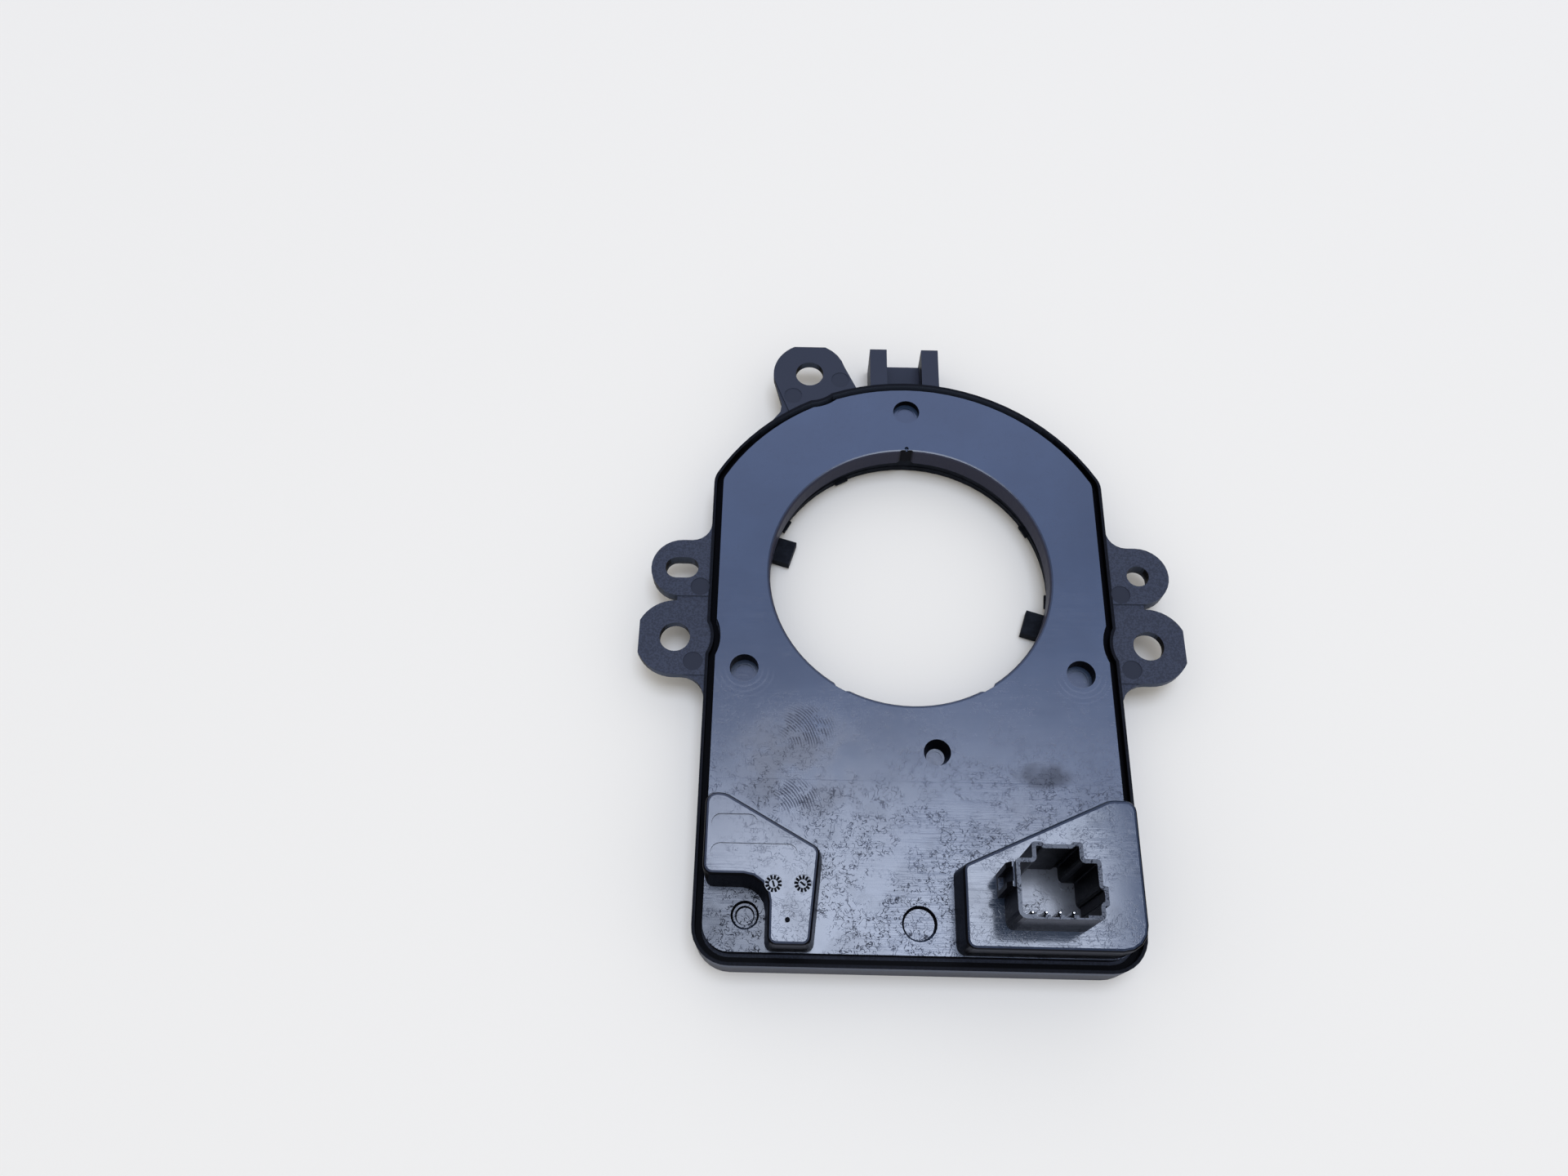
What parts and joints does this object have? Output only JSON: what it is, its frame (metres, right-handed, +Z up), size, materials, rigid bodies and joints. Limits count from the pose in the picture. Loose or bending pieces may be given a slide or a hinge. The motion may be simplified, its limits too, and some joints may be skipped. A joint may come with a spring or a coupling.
{
  "type": "steering angle sensor",
  "caption": "Flat moulded sensor housing round a wide shaft bore, with a driven inner ring on measuring gears, fixing ears, a fork, raised pads and an open plug socket.",
  "frame": {"origin": "middle of the outline seen from above, at the underside; the shaft bore's axis is 11.11 mm from it along +Y", "axes": "+Z up out of the cover along the shaft bore's axis, +Y towards the fork, +X towards the socket's side"},
  "size_m": [0.1104, 0.1356, 0.0307],
  "materials": {
    "base_plastic": "fine grained black",
    "cover_plastic": "smooth black, scratched",
    "ring_plastic": "smooth black",
    "gear_plastic": "smooth off-white",
    "magnet": "dull dark grey",
    "board": "green lacquer",
    "chip": "matt black",
    "can_metal": "bright drawn metal",
    "ferrite": "matt dark grey",
    "ceramic": "fired tan",
    "contact": "tinned"
  },
  "bodies": {
    "housing": {"housing_base": "base_plastic", "housing_cover": "cover_plastic", "circuit_board": "board", "sensor_chip_a": "chip", "sensor_chip_b": "chip", "microcontroller": "chip", "bus_transceiver": "chip", "voltage_regulator": "chip", "timing_crystal": "can_metal", "buffer_capacitor_a": "can_metal", "buffer_capacitor_b": "can_metal", "filter_choke": "ferrite", "protection_diode": "chip", "ceramic_capacitor_1": "ceramic", "ceramic_capacitor_2": "ceramic", "ceramic_capacitor_3": "ceramic", "ceramic_capacitor_4": "ceramic", "contact_pin_1": "contact", "contact_pin_2": "contact", "contact_pin_3": "contact", "contact_pin_4": "contact"},
    "rotor": {"rotor_ring": "ring_plastic"},
    "gear_a": {"measuring_gear_a": "gear_plastic", "gear_magnet_a": "magnet"},
    "gear_b": {"measuring_gear_b": "gear_plastic", "gear_magnet_b": "magnet"}
  },
  "joints": [
    {"name": "rotor_spin", "type": "hinge", "parent": "housing", "child": "rotor", "pos_m": [0, 0.01111, 0.0016], "axis": [0, 0, 1], "continuous": true},
    {"name": "gear_a_spin", "type": "hinge", "parent": "housing", "child": "gear_a", "pos_m": [-0.01738, -0.03191, 0.0016], "axis": [0, 0, 1], "continuous": true},
    {"name": "gear_b_spin", "type": "hinge", "parent": "housing", "child": "gear_b", "pos_m": [0.01768, -0.03265, 0.0016], "axis": [0, 0, 1], "continuous": true}
  ],
  "couplings": [
    {"joint": "gear_a_spin", "follows": "rotor_spin", "ratio": -3.4615},
    {"joint": "gear_b_spin", "follows": "rotor_spin", "ratio": -3.2143}
  ]
}
